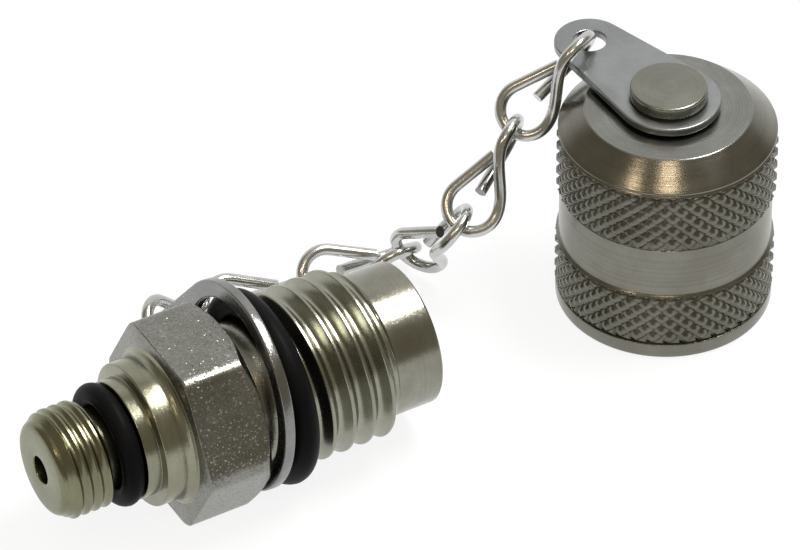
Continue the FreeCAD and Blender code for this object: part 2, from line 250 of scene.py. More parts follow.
def metalHeight(tree, look, pattern):
    rings = times(tree, pattern["rings"], look["ringDepth"])
    grain = times(tree, pattern["grain"], look["grainDepth"])
    waves = times(tree, noise(tree, pattern["place"], look["waveScale"]), look["waveDepth"])
    return plus(tree, plus(tree, rings, grain), waves)


def sparkled(tree, look, place, normal):
    cells = addNode(tree, "ShaderNodeTexVoronoi")
    cells.inputs["Scale"].default_value = look["sparkleScale"]
    tree.links.new(place, cells.inputs["Vector"])
    tilt = addNode(tree, "ShaderNodeVectorMath", operation="SCALE")
    tree.links.new(vectorCalc(tree, "SUBTRACT", cells.outputs["Color"], (0.5, 0.5, 0.5)), tilt.inputs[0])
    picked = noise(tree, place, look["sparkleScale"] * look["sparklePick"], 1)
    strength = times(tree, stepped(tree, picked, look["sparkleFrom"], look["sparkleFull"]), look["sparkle"])
    tree.links.new(strength, tilt.inputs["Scale"])
    return vectorCalc(tree, "NORMALIZE", vectorCalc(tree, "ADD", normal, tilt.outputs[0]))


def metal(name, **own):
    look = dict(metalLook, **own)
    material, tree, shader = newMaterial(name)
    pattern = metalPatterns(tree, look)
    tree.links.new(metalTone(tree, look, pattern), shader.inputs["Base Color"])
    tree.links.new(metalRoughness(tree, look, pattern), shader.inputs["Roughness"])
    shader.inputs["Metallic"].default_value = 1.0
    normal = bumped(tree, metalHeight(tree, look, pattern), look["bump"])
    if look["sparkle"]:
        normal = sparkled(tree, look, pattern["place"], normal)
    tree.links.new(normal, shader.inputs["Normal"])
    return material


rubberLook = {"dark": (0.003, 0.003, 0.0032), "light": (0.006, 0.006, 0.0062), "dust": (0.06, 0.06, 0.057),
              "dusty": 0.25, "rough": 0.4, "roughSpread": 0.12, "shine": 0.05, "cloudDepth": 1.5,
              "bump": 5e-6}


def rubber(name, look):
    material, tree, shader = newMaterial(name)
    place = centred(tree, (0, 0, 0))
    cloud = noise(tree, place, 400, 4, 0.6)
    dust = noise(tree, place, 3800, 3, 0.7)
    tone = mixed(tree, cloud, colour(*look["dark"]), colour(*look["light"]))
    dusty = times(tree, stepped(tree, dust, 0.62, 0.8), look["dusty"])
    tree.links.new(mixed(tree, dusty, tone, colour(*look["dust"])), shader.inputs["Base Color"])
    rough = plus(tree, look["rough"], times(tree, cloud, look["roughSpread"]))
    tree.links.new(rough, shader.inputs["Roughness"])
    shader.inputs["Specular IOR Level"].default_value = look["shine"]
    height = plus(tree, dust, times(tree, cloud, look["cloudDepth"]))
    tree.links.new(bumped(tree, height, look["bump"]), shader.inputs["Normal"])
    return material


plasticLook = {"dark": (0.50, 0.48, 0.43), "light": (0.62, 0.60, 0.55), "rough": 0.45, "roughSpread": 0.1,
               "bump": 4e-6}


def plastic(name, look):
    material, tree, shader = newMaterial(name)
    place = centred(tree, capCentre)
    cloud = noise(tree, place, 350, 4, 0.6)
    tone = mixed(tree, cloud, colour(*look["dark"]), colour(*look["light"]))
    tree.links.new(tone, shader.inputs["Base Color"])
    rough = plus(tree, look["rough"], times(tree, cloud, look["roughSpread"]))
    tree.links.new(rough, shader.inputs["Roughness"])
    tree.links.new(bumped(tree, noise(tree, place, 3000, 3), look["bump"]), shader.inputs["Normal"])
    return material


olive = {"dark": (0.235, 0.230, 0.188), "light": (0.290, 0.286, 0.240), "spot": (0.24, 0.215, 0.17)}
upright = {"axis": "Z", "centre": capCentre}
unturned = {"ringTone": 0.0, "ringDepth": 0.0}

materials = {
    "turned": metal("plated turned", **olive, rough=0.24, bump=5e-6, ringTone=0.2, sparkle=0.16,
                    zones=((-10.0, -3.9, (0.78, 0.79, 0.62)), (-3.8, 2.7, (1.05, 1.06, 0.95)))),
    "hex": metal("plated flats", dark=(0.235, 0.234, 0.21), light=(0.292, 0.291, 0.264), spot=olive["spot"],
                 rough=0.29, bump=5e-6, ringTone=0.0, ringDepth=0.1, grainDepth=0.8, grainScale=5600,
                 grainTone=0.65, sparkle=0.85, sparkleScale=6000),
    "thread": metal("plated thread", **olive, rough=0.25, bump=4e-6, ringTone=0.1, ringDepth=0.2,
                    zones=((-10.0, -3.9, (0.8, 0.81, 0.64)), (14.0, 24.0, (1.12, 1.14, 1.12)))),
    # the cap's zone makes its top face lighter and bluer than the rest of the cap: a painted reflection of
    # the pale room
    "cap": metal("plated cap", **upright, dark=(0.185, 0.180, 0.152), light=(0.225, 0.221, 0.190),
                 spot=(0.2, 0.175, 0.13), rough=0.22, bump=7e-6, ringTone=0.3, ringDepth=1.3,
                 zones=((21.35, 30.0, (1.24, 1.28, 1.38)),)),
    # the knurl is the cap's plating painted darker: painted shade of its facets and grooves
    "knurl": metal("plated knurl with painted shade", **upright, **unturned, dark=(0.135, 0.132, 0.106),
                   light=(0.176, 0.173, 0.145), spot=olive["spot"], rough=0.3, bump=5e-6),
    "ringTag": metal("plated ring tag", **unturned, dark=(0.205, 0.207, 0.2), light=(0.26, 0.262, 0.254),
                     spot=(0.22, 0.205, 0.19), rough=0.26, bump=5e-6, sparkle=0.25),
    "capTag": metal("plated cap tag", **upright, **unturned, dark=(0.262, 0.274, 0.272),
                    light=(0.305, 0.318, 0.314), spot=(0.27, 0.27, 0.25), rough=0.3, bump=4e-6),
    "wire": metal("plated wire", **unturned, dark=(0.47, 0.475, 0.465), light=(0.60, 0.605, 0.59),
                  spot=(0.34, 0.32, 0.29), rough=0.2, bump=5e-6, waveDepth=1.6),
    "rivet": metal("turned rivet", **upright, dark=(0.208, 0.208, 0.178), light=(0.252, 0.252, 0.218),
                   spot=(0.22, 0.2, 0.17), rough=0.27, bump=5e-6, ringTone=0.25, ringDepth=0.9,
                   ringScale=2600),
    "inner": metal("turned inner steel", dark=(0.40, 0.395, 0.37), light=(0.5, 0.495, 0.47),
                   spot=(0.3, 0.28, 0.25), rough=0.3, ringTone=0.3, ringDepth=0.8),
    "spring": metal("spring wire", **unturned, dark=(0.33, 0.33, 0.32), light=(0.42, 0.42, 0.41),
                    spot=(0.28, 0.26, 0.24), rough=0.26),
    "rubber": rubber("moulded rubber", rubberLook),
    "plastic": plastic("moulded seal", plasticLook),
}
print("materials", len(materials))


# Building pieces: outlines in millimetres, turned into metres when a mesh is made of them

def finishMesh(mesh, sharpAngle=32):
    work = bmesh.new()
    work.from_mesh(mesh)
    bmesh.ops.remove_doubles(work, verts=work.verts, dist=2e-7)
    bmesh.ops.recalc_face_normals(work, faces=work.faces)
    work.to_mesh(mesh)
    work.free()
    return smoothed(mesh, sharpAngle)


def smoothed(mesh, sharpAngle):
    for polygon in mesh.polygons:
        polygon.use_smooth = True
    mesh.set_sharp_from_angle(angle=math.radians(sharpAngle))
    mesh.update()
    return mesh


def addPiece(name, mesh, material, body, slotName, *nodes):
    if not mesh.materials:
        mesh.materials.append(materials[material])
    piece = bpy.data.objects.new(name, mesh)
    scene.collection.objects.link(piece)
    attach(piece, body)
    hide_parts(*nodes)
    return piece


def meshOf(name, points, faces, sharpAngle=32):
    mesh = bpy.data.meshes.new(name)
    mesh.from_pydata([[c * mm for c in p] for p in points], [], faces)
    return finishMesh(mesh, sharpAngle)


def meshFromObject(carrier, name):
    carrier.update_tag()
    bpy.context.view_layer.update()
    graph = bpy.context.evaluated_depsgraph_get()
    mesh = bpy.data.meshes.new_from_object(carrier.evaluated_get(graph), depsgraph=graph)
    mesh.name = name
    return mesh


# A corner is (x, y) or (x, y, rounding radius); a rounding takes less than half of each side beside it
rounding = {"steps": 5, "mostOfSide": 0.48}


def roundedOutline(corners, closed):
    rounded = []
    count = len(corners)
    for k, corner in enumerate(corners):
        here = Vector(corner[:2])
        size = corner[2] if len(corner) > 2 else 0.0
        if size <= 0 or (not closed and k in (0, count - 1)):
            rounded.append(here)
            continue
        back = Vector(corners[k - 1][:2]) - here
        ahead = Vector(corners[(k + 1) % count][:2]) - here
        half = back.angle(ahead) / 2
        most = rounding["mostOfSide"]
        cut = min(size / math.tan(half), most * back.length, most * ahead.length)
        radius = cut * math.tan(half)
        back.normalize()
        ahead.normalize()
        centre = here + (back + ahead).normalized() * (radius / math.sin(half))
        start = here + back * cut - centre
        end = here + ahead * cut - centre
        sweep = start.angle_signed(end)
        for step in range(rounding["steps"] + 1):
            turn = -sweep * step / rounding["steps"]
            cosine, sine = math.cos(turn), math.sin(turn)
            spun = Vector((start.x * cosine - start.y * sine, start.x * sine + start.y * cosine))
            rounded.append(centre + spun)
    return rounded


def facesBetween(a, b, segments):
    if len(a) == 1 and len(b) == 1:
        return []
    faces = []
    for k in range(segments):
        n = (k + 1) % segments
        if len(a) == 1:
            faces.append((a[0], b[k], b[n]))
        elif len(b) == 1:
            faces.append((a[k], a[n], b[0]))
        else:
            faces.append((a[k], a[n], b[n], b[k]))
    return faces


def turned(name, corners, axis="X", centre=(0, 0, 0), closed=True, segments=192):
    points = []
    rings = []
    for along, radius in roundedOutline(corners, closed):
        ring = []
        for k in range(1 if radius < 1e-6 else segments):
            angle = fullTurn * k / segments
            across, up = radius * math.cos(angle), radius * math.sin(angle)
            local = (along, across, up) if axis == "X" else (across, up, along)
            ring.append(len(points))
            points.append([a + b for a, b in zip(local, centre)])
        rings.append(ring)
    pairs = list(zip(rings, rings[1:]))
    if closed:
        pairs.append((rings[-1], rings[0]))
    faces = [face for a, b in pairs for face in facesBetween(a, b, segments)]
    return meshOf(name, points, faces)


# Geometry Nodes: shared helpers

def openTree(name, sizes, counts):
    tree = bpy.data.node_groups.new(name, "GeometryNodeTree")
    for way in ("INPUT", "OUTPUT"):
        tree.interface.new_socket(name="Geometry", in_out=way, socket_type="NodeSocketGeometry")
    for entries, kind in ((sizes, "NodeSocketFloat"), (counts, "NodeSocketInt")):
        for entry in entries:
            tree.interface.new_socket(name=entry, in_out="INPUT", socket_type=kind)
    return tree, addNode(tree, "NodeGroupInput").outputs


def closeTree(tree, geometry):
    real = addNode(tree, "GeometryNodeRealizeInstances")
    coat = addNode(tree, "GeometryNodeSetMaterial")
    leave = addNode(tree, "NodeGroupOutput")
    tree.links.new(geometry, real.inputs["Geometry"])
    tree.links.new(real.outputs["Geometry"], coat.inputs["Geometry"])
    tree.links.new(coat.outputs["Geometry"], leave.inputs["Geometry"])


def merged(tree, geometry):
    merge = addNode(tree, "GeometryNodeMergeByDistance")
    merge.inputs["Distance"].default_value = 1e-6
    tree.links.new(geometry, merge.inputs["Geometry"])
    return merge.outputs[0]


def moved(tree, geometry, place):
    move = addNode(tree, "GeometryNodeSetPosition")
    tree.links.new(geometry, move.inputs["Geometry"])
    tree.links.new(place, move.inputs["Position"])
    return move.outputs[0]


def position(tree):
    return split(tree, addNode(tree, "GeometryNodeInputPosition").outputs[0])


def runNodes(name, source, tree, values, material):
    carrier = bpy.data.objects.new(name + " source", source)
    scene.collection.objects.link(carrier)
    modifier = carrier.modifiers.new("nodes", "NODES")
    modifier.node_group = tree
    for item in tree.interface.items_tree:
        if item.in_out == "INPUT" and item.name in values:
            modifier[item.identifier] = values[item.name]
    for node in tree.nodes:
        if node.bl_idname == "GeometryNodeSetMaterial":
            node.inputs["Material"].default_value = materials[material]
    mesh = meshFromObject(carrier, name)
    carrier.modifiers.remove(modifier)
    bpy.data.objects.remove(carrier)
    return mesh


# Threads: a grid wound round the X axis, its rows running a pitch further with each turn. Its first row and
# its last two close the shape inside, at the wall radius. The tooth fades where the two slopes cut it.
threadPlain = ("Side", "Start Slope", "End Slope", "Crest Width", "Root Width", "Rows", "Segments")
toothPower = 1.5
toothBlend = 0.12  # mm, over which the tooth runs into the slopes


def threadTree():
    tree, entry = openTree(
        "helical thread",
        ("Start", "End", "Pitch", "Base Radius", "Depth", "Side", "Start Height", "Start Slope",
         "End Height", "End Slope", "Wall Radius", "Phase", "Crest Width", "Root Width"),
        ("Rows", "Segments"))
    start, end, pitch = entry["Start"], entry["End"], entry["Pitch"]
    rows, segments = entry["Rows"], entry["Segments"]

    def choose(pick, a, b):
        return plus(tree, a, times(tree, pick, minus(tree, b, a)))

    grid = addNode(tree, "GeometryNodeMeshGrid")
    grid.inputs["Size X"].default_value = 1.0
    grid.inputs["Size Y"].default_value = 1.0
    turns = plus(tree, over(tree, minus(tree, end, start), pitch), 2.0)
    last = plus(tree, calc(tree, "CEIL", times(tree, turns, rows)), 2.0)
    tree.links.new(plus(tree, last, 1.0), grid.inputs["Vertices X"])
    tree.links.new(plus(tree, segments, 1.0), grid.inputs["Vertices Y"])
    gridX, gridY = position(tree)[:2]
    row = calc(tree, "ROUND", times(tree, plus(tree, gridX, 0.5), last))
    turn = over(tree, calc(tree, "ROUND", times(tree, plus(tree, gridY, 0.5), segments)), segments)

    # Along the axis, and how far up the tooth
    wound = plus(tree, minus(tree, over(tree, minus(tree, row, 1.0), rows), 1.0), turn)
    along = held(tree, plus(tree, start, times(tree, wound, pitch)), start, end)
    phase = minus(tree, over(tree, minus(tree, along, entry["Phase"]), pitch), turn)
    wave = calc(tree, "ABSOLUTE", minus(tree, times(tree, calc(tree, "FRACT", phase), 2.0), 1.0))
    root, crest = entry["Root Width"], entry["Crest Width"]
    climb = held(tree, over(tree, minus(tree, root, wave), minus(tree, root, crest)), 0.0, 1.0)
    tooth = times(tree, entry["Depth"], calc(tree, "POWER", climb, toothPower))
    rise = plus(tree, entry["Start Height"], times(tree, entry["Start Slope"], minus(tree, along, start)))
    fall = plus(tree, entry["End Height"], times(tree, entry["End Slope"], minus(tree, end, along)))
    tooth = calc(tree, "SMOOTH_MIN", tooth, smaller(tree, rise, fall), toothBlend * mm)
    radius = plus(tree, entry["Base Radius"], times(tree, entry["Side"], tooth))

    # The rows that close the shape
    isFirst = calc(tree, "LESS_THAN", row, 0.5)
    isLast = calc(tree, "GREATER_THAN", row, minus(tree, last, 0.5))
    isWall = larger(tree, isFirst, calc(tree, "GREATER_THAN", row, minus(tree, last, 1.5)))
    atStart = larger(tree, isFirst, isLast)
    radius = choose(isWall, radius, entry["Wall Radius"])
    along = choose(isWall, along, choose(atStart, end, start))
    angle = times(tree, turn, fullTurn)
    across = times(tree, radius, calc(tree, "COSINE", angle))
    up = times(tree, radius, calc(tree, "SINE", angle))
    closeTree(tree, merged(tree, moved(tree, grid.outputs["Mesh"], joined(tree, along, across, up))))
    return tree


threads = threadTree()


def threadMesh(name, values, material):
    metric = {key: value if key in threadPlain else value * mm for key, value in values.items()}
    return runNodes(name, bpy.data.meshes.new(name + " seed"), threads, metric, material)


# Body: turned core with its bores, hexagon and the two outer threads
core = {"studEnd": -9.1, "studR": 4.58, "undercutFrom": -4.0, "undercutTo": -1.35, "undercutR": 3.7,
        "spigotR": 5.5, "collarR": 6.65, "collarTo": 1.9, "flareR": 7.35, "hexFrom": 2.7, "hexTo": 9.1,
        "hexCoreR": 6.5, "neckR": 6.55, "neckTo": 14.7, "threadCoreR": 6.4, "noseFrom": 23.1, "noseR": 6.65,
        "noseTo": 27.7, "noseBoreR": 4.8, "noseBoreFrom": 16.5, "chamberR": 3.2, "chamberFrom": 5.0,
        "passageR": 1.3, "passageTo": 3.86}


def coreOutline(v):
    return [
        (v["studEnd"], v["passageR"], 0.12),
        (v["studEnd"], 4.2, 0.8),
        (-8.1, v["studR"], 0.5),
        (-4.6, v["studR"]),
        (v["undercutFrom"], v["undercutR"], 0.05),
        (v["undercutTo"], v["undercutR"], 0.1),
        (v["undercutTo"], v["spigotR"], 0.12),
        (0.0, v["spigotR"], 0.06),
        (0.0, v["collarR"], 0.16),
        (v["collarTo"], v["collarR"], 0.5),
        (2.12, 6.69, 0.2),
        (2.35, 6.8, 0.2),
        (2.56, 7.0, 0.2),
        (v["hexFrom"], v["flareR"], 0.05),
        (3.0, v["flareR"]),
        (3.0, v["hexCoreR"]),
        (9.0, v["hexCoreR"]),
        (v["hexTo"], v["neckR"]),
        (v["neckTo"], v["neckR"]),
        (14.9, v["threadCoreR"]),
        (23.0, v["threadCoreR"]),
        (v["noseFrom"], v["noseR"]),
        (v["noseTo"], v["noseR"], 0.22),
        (v["noseTo"], 5.2, 0.05),
        (27.3, v["noseBoreR"], 0.08),
        (v["noseBoreFrom"], v["noseBoreR"]),
        (v["noseBoreFrom"], v["chamberR"]),
        (v["chamberFrom"], v["chamberR"]),
        (v["passageTo"], v["passageR"], 0.1)]


coreMesh = turned("turned_core", coreOutline(core))
addPiece("turned_core", coreMesh, "turned", "coupling", "plated_body", "coupling_body")

hexagon = {"start": 2.7, "end": 9.2, "flat": 8.5, "frontR": 9.4, "backR": 8.6, "chamfer": 40, "sharpness": 25,
           "soft": 0.035, "edge": 0.08, "inner": 6.6, "segments": 720}
edgeCurve = ((0.0, 1.0), (0.25, 0.4), (1.0, 0.0))  # along the axis and inwards, as shares of the edge


def softMin(a, b, soft):
    low = min(a, b)
    return low - soft * math.log(math.exp(-(a - low) / soft) + math.exp(-(b - low) / soft))


def hexReach(x, angle, v):
    total = 0.0
    for k in range(6):
        facing = math.cos(angle - math.radians(30 + 60 * k))
        if facing > 0.3:
            total += (facing / v["flat"]) ** v["sharpness"]
    side = total ** (-1 / v["sharpness"])
    slope = math.tan(math.radians(v["chamfer"]))
    front = v["frontR"] + (x - v["start"]) / slope
    back = v["backR"] + (v["end"] - x) / slope
    return softMin(side, min(front, back), v["soft"])


def hexRows(v):
    start, end, edge = v["start"], v["end"], v["edge"]
    rows = [(start, None)]
    rows += [(start + along * edge, inwards * edge) for along, inwards in edgeCurve]
    for first, step, count in ((start + 0.1, 0.06, 8), (start + 0.7, 0.6, 8), (end - 1.2, 0.05, 23)):
        rows += [(first + step * k, 0.0) for k in range(count)]
    rows += [(end - along * edge, inwards * edge) for along, inwards in reversed(edgeCurve)]
    return rows + [(end, None)]


def hexMesh(v):
    points = []
    rings = []
    for x, inset in hexRows(v):
        ring = []
        for k in range(v["segments"]):
            angle = fullTurn * k / v["segments"]
            radius = v["inner"] if inset is None else hexReach(x, angle, v) - inset
            ring.append(len(points))
            points.append((x, radius * math.cos(angle), radius * math.sin(angle)))
        rings.append(ring)
    faces = []
    for k, ring in enumerate(rings):
        faces += facesBetween(ring, rings[(k + 1) % len(rings)], v["segments"])
    return meshOf("hexagon", points, faces, 40)


addPiece("hexagon", hexMesh(hexagon), "hex", "coupling", "plated_body", "coupling_body")

gaugeThread = {"Start": 14.6, "End": 23.3, "Pitch": 2.0, "Base Radius": 7.0, "Depth": 1.0, "Side": 1.0,
               "Start Height": 0.35, "Start Slope": 1.2, "End Height": -0.4, "End Slope": 1.227,
               "Wall Radius": 6.1, "Phase": -0.08, "Crest Width": 0.14, "Root Width": 0.9,
               "Rows": 28, "Segments": 200}
studThread = {"Start": -8.5, "End": -4.0, "Pitch": 1.0, "Base Radius": 4.7, "Depth": 0.3, "Side": 1.0,
              "Start Height": -0.3, "Start Slope": 0.8, "End Height": -1.05, "End Slope": 2.6,
              "Wall Radius": 3.4, "Phase": 0.3, "Crest Width": 0.2, "Root Width": 0.9,
              "Rows": 20, "Segments": 160}
for name, values in (("gauge_thread", gaugeThread), ("stud_thread", studThread)):
    addPiece(name, threadMesh(name, values, "thread"), "thread", "coupling", "plated_body", "coupling_body")
print("body")

# Rubber rings: place along X, radius of the ring, radius of its section and height of its moulding seam
rubberRings = {
    "stud_ring": ("stud_o_ring", -2.41, 4.72, 1.0, 0.012),
    "collar_ring": ("collar_o_ring", 12.95, 7.87, 1.3, 0.015),
    "nose_seal": ("probe_seal", 23.42, 3.98, 0.8, 0.0),
}


def ringMesh(name, centreX, ringRadius, section, seam, sides=40):
    outline = []
    for k in range(sides):
        angle = fullTurn * k / sides
        size = section if k in (0, sides // 2) else section - seam
        outline.append((centreX + size * math.sin(angle), ringRadius + size * math.cos(angle)))
    return turned(name, outline, segments=220)


for name, (node, *sizes) in rubberRings.items():
    addPiece(name, ringMesh(name, *sizes), "rubber", "coupling", "seal_rubber", node)

# Pieces in the nose
nose = {"fitR": 4.78, "bushFrom": 16.52, "bushTo": 22.42, "bushBoreR": 1.7, "bushLeadR": 2.55,
        "grooveR": 3.76, "grooveFrom": 18.62, "grooveTo": 20.02,
        "ringFrom": 24.42, "ringTo": 25.82, "ringBoreR": 3.5, "ringLeadR": 4.2}
noseRing = [
    (nose["ringFrom"], nose["ringBoreR"]),
    (nose["ringFrom"], nose["fitR"]),
    (nose["ringTo"], nose["fitR"], 0.08),
    (nose["ringTo"], nose["ringLeadR"], 0.08),
    (25.12, nose["ringBoreR"], 0.1)]
noseRingMesh = turned("nose_ring_turned", noseRing)
addPiece("nose_ring_turned", noseRingMesh, "inner", "coupling", "inner_steel", "nose_ring")
bush = [
    (nose["bushFrom"], nose["bushBoreR"]),
    (nose["bushFrom"], nose["fitR"]),
    (nose["grooveFrom"], nose["fitR"]),
    (nose["grooveFrom"], nose["grooveR"]),
    (nose["grooveTo"], nose["grooveR"]),
    (nose["grooveTo"], nose["fitR"]),
    (nose["bushTo"], nose["fitR"], 0.08),
    (nose["bushTo"], nose["bushLeadR"], 0.08),
    (21.57, nose["bushBoreR"], 0.1)]
addPiece("bush", turned("bush", bush), "inner", "coupling", "inner_steel", "valve_bush")

# Solids kept as they are, each with its material and its slot
keptSolids = {
    "bush_seal": ("rubber", "seal_rubber"),
    "valve_poppet": ("inner", "inner_steel"),
    "poppet_seal": ("rubber", "seal_rubber"),
    "cap_seal": ("plastic", "cap_plastic"),
}
for node, (material, slotName) in keptSolids.items():
    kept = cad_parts[node]
    kept.data.materials.clear()
    kept.data.materials.append(materials[material])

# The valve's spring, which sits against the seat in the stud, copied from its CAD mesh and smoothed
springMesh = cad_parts["valve_spring"].data.copy()
springMesh.materials.clear()
coil = addPiece("coil_spring", finishMesh(springMesh), "spring", "coupling", "spring_wire", "valve_spring")
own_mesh(coil)
print("seals and bush")


# Tags: flat sheet with a big round end, a small one and a hole in each

def arcPoints(centreX, radius, start, sweep, steps):
    turns = [start + sweep * k / steps for k in range(steps + 1)]
    return [(centreX + radius * math.cos(turn), radius * math.sin(turn)) for turn in turns]


def tagMesh(name, v, place):
    lean = math.asin((v["bigR"] - v["smallR"]) / v["distance"])
    across = math.pi / 2 - lean
    outline = arcPoints(0.0, v["bigR"], across, fullTurn - 2 * across, 120)
    outline += arcPoints(v["distance"], v["smallR"], -across, 2 * across, 60)
    bigHole = arcPoints(0.0, v["bigHole"], 0.0, fullTurn, 120)[:-1]
    smallHole = arcPoints(v["distance"], v["smallHole"], 0.0, fullTurn, 56)[:-1]
    curve = bpy.data.curves.new(name, "CURVE")
    curve.dimensions = "2D"
    curve.fill_mode = "BOTH"
    curve.extrude = (v["sheet"] / 2 - v["edge"]) * mm
    curve.bevel_depth = v["edge"] * mm
    curve.bevel_resolution = 3
    curve.offset = -v["edge"] * mm
    for loop in (outline, bigHole, smallHole):
        spline = curve.splines.new("POLY")
        spline.points.add(len(loop) - 1)
        for point, (x, y) in zip(spline.points, loop):
            point.co = (x * mm, y * mm, 0.0, 1.0)
        spline.use_cyclic_u = True
    carrier = bpy.data.objects.new(name + " outline", curve)
    scene.collection.objects.link(carrier)
    mesh = meshFromObject(carrier, name)
    bpy.data.objects.remove(carrier)
    metric = place.copy()
    metric.translation = place.translation * mm
    mesh.transform(metric)
    return finishMesh(mesh, 30)


def frameMatrix(columns, origin):
    matrix = Matrix.Identity(4)
    for k, column in enumerate(columns):
        for row in range(3):
            matrix[row][k] = column[row]
    matrix.translation = origin
    return matrix


def turnedBy(degrees, axis):
    return Matrix.Rotation(math.radians(degrees), 4, axis)


def shiftZ(distance):
    return Matrix.Translation((0, 0, distance))


ringTag = {"x": 10.5, "lift": 1.3, "lean": 4.0, "earTurn": -23.3, "bigR": 9.7, "smallR": 3.2,
           "distance": 13.5, "bigHole": 8.1, "smallHole": 1.5, "sheet": 1.0, "edge": 0.2}
earTurn = math.radians(ringTag["earTurn"])
outward = Vector((0, math.cos(earTurn), math.sin(earTurn)))
ringTagCentre = Vector((ringTag["x"], 0, ringTag["lift"]))
ringTagLevel = frameMatrix((outward, axisX.cross(outward), axisX), ringTagCentre)
pivot = Matrix.Translation(ringTagCentre)
ringTagPlace = pivot @ turnedBy(ringTag["lean"], "Y") @ pivot.inverted() @ ringTagLevel
ringTagMesh = tagMesh("ring_tag", ringTag, ringTagPlace)
addPiece("ring_tag", ringTagMesh, "ringTag", "ring_tag", "plated_tag", "body_ring_tag")

capTag = {"z": 13.6, "turn": 100.0, "bigR": 4.7, "smallR": 3.25, "distance": 10.7,
          "bigHole": 3.2, "smallHole": 1.5, "sheet": 0.8, "edge": 0.14}
capTagPlace = Matrix.Translation((capCentre.x, capCentre.y, capTag["z"])) @ turnedBy(capTag["turn"], "Z")
addPiece("cap_tag", tagMesh("cap_tag", capTag, capTagPlace), "capTag", "cap_tag", "plated_tag", "cap_tag")
print("tags")

# Chain: every link is one wire, bent into two loops at right angles, hung on the one before it.
# Swings and tilts go from the ring tag on; the second swing brings the chain's end level with the cap's tag.
chain = {"wire": 0.55, "reach": 5.6, "bend": 2.35, "endOut": 0.4, "endPast": 1.8, "ease": 2.4, "play": 0.1,
         "sides": 20, "bendSteps": 24, "shankSteps": 18, "taper": 0.03, "thinEnd": 0.8, "earWrap": 71.7,
         "swings": (-93.6, 0.0557, 0.9, 36.1, 21.3, -14.4), "tilts": (-37.5, 37.7, 4.7, 73.8, -62.9, 9.7)}


def linkPath(v):
    centreZ = v["reach"] - v["bend"]
    end = Vector((-v["endOut"], -v["endPast"]))
    reach = Vector((0, centreZ)) - end
    heading = math.atan2(reach.y, reach.x) + math.asin(v["bend"] / reach.length)
    straight = math.sqrt(reach.length ** 2 - v["bend"] ** 2)
    bendIn = end + Vector((math.cos(heading), math.sin(heading))) * straight
    start = math.atan2(bendIn.y - centreZ, bendIn.x) % fullTurn
    loop = [end, end.lerp(bendIn, v["taper"])]
    for k in range(v["bendSteps"] + 1):
        turn = start * (1 - k / v["bendSteps"])
        loop.append(Vector((v["bend"] * math.cos(turn), centreZ + v["bend"] * math.sin(turn))))
    upper = [Vector((p.x, 0, p.y)) for p in loop]
    lower = [Vector((0, p.x, -p.y)) for p in reversed(loop)]
    ease = Vector((0, 0, v["ease"]))
    a, b, c, d = upper[-1], upper[-1] - ease, lower[0] + ease, lower[0]
    shank = []
    for k in range(1, v["shankSteps"]):
        t = k / v["shankSteps"]
        s = 1 - t
        shank.append(a * s ** 3 + b * 3 * t * s ** 2 + c * 3 * t * t * s + d * t ** 3)
    return upper + shank + lower


def wireTree():
    tree, entry = openTree("bent wire", ("Wire Radius",), ("Sides",))
    ring = addNode(tree, "GeometryNodeCurvePrimitiveCircle")
    tree.links.new(entry["Sides"], ring.inputs["Resolution"])
    tree.links.new(entry["Wire Radius"], ring.inputs["Radius"])
    sweep = addNode(tree, "GeometryNodeCurveToMesh")
    tree.links.new(entry["Geometry"], sweep.inputs["Curve"])
    tree.links.new(ring.outputs["Curve"], sweep.inputs["Profile Curve"])
    sweep.inputs["Fill Caps"].default_value = True
    closeTree(tree, merged(tree, sweep.outputs[0]))
    return tree


wires = wireTree()


def linkMesh(name, place, v):
    path = bpy.data.curves.new(name + " path", "CURVE")
    path.dimensions = "3D"
    points = linkPath(v)
    spline = path.splines.new("POLY")
    spline.points.add(len(points) - 1)
    for k, point in enumerate(points):
        spline.points[k].co = (*(place @ point * mm), 1.0)
        spline.points[k].radius = v["thinEnd"] if k in (0, len(points) - 1) else 1.0
    values = {"Wire Radius": v["wire"] * mm, "Sides": v["sides"]}
    return finishMesh(runNodes(name, path, wires, values, "wire"), 40)


def chainPlaces(v):
    ear = ringTagLevel @ Matrix.Translation((ringTag["distance"], 0, 0))
    wrap = math.radians(v["earWrap"])
    aim = Vector((math.cos(wrap), math.sin(wrap), 0))
    along = Vector((-math.sin(wrap), math.cos(wrap), 0))
    middle = (ringTag["smallHole"] + ringTag["smallR"]) / 2
    hook = frameMatrix((along.cross(-aim), along, -aim), aim * middle)
    hung = turnedBy(v["swings"][0], "Y") @ turnedBy(v["tilts"][0], "X")
    place = ear @ hook @ hung @ shiftZ(v["bend"] - v["reach"])
    found = [place]
    for swing, tilt in zip(v["swings"][1:], v["tilts"][1:]):
        place = place @ shiftZ(-v["reach"]) @ turnedBy(swing, "Y") @ shiftZ(2 * v["wire"] + v["play"])
        place = place @ turnedBy(tilt, "X") @ shiftZ(-v["reach"])
        found.append(place)
    return found


def boxDifference(piece, node):
    low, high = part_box(node)
    corners = [piece.matrix_world @ v.co for v in piece.data.vertices]
    below = [abs(min(p[k] for p in corners) - low[k]) for k in range(3)]
    above = [abs(max(p[k] for p in corners) - high[k]) for k in range(3)]
    return max(below + above)


for number, place in zip(range(6, 0, -1), chainPlaces(chain)):
    name = "link_%d" % number
    piece = addPiece(name, linkMesh(name, place, chain), "wire", name, "chain_wire", "chain_" + name)
    print("link", number, "differs by", round(boxDifference(piece, "chain_" + name) / mm, 3))

# Cap: turned shell, inner thread, two knurled bands and the rivet
cap = {"height": 21.4, "mouthR": 9.0, "mouthDepth": 1.2, "rimR": 9.9, "shellR": 9.4, "bandR": 9.67,
       "stepR": 9.72, "topR": 7.57, "shankR": 2.02, "shankTo": 18.38, "depth": 17.0, "reliefR": 7.2,
       "reliefFrom": 11.6, "boreR": 8.3}


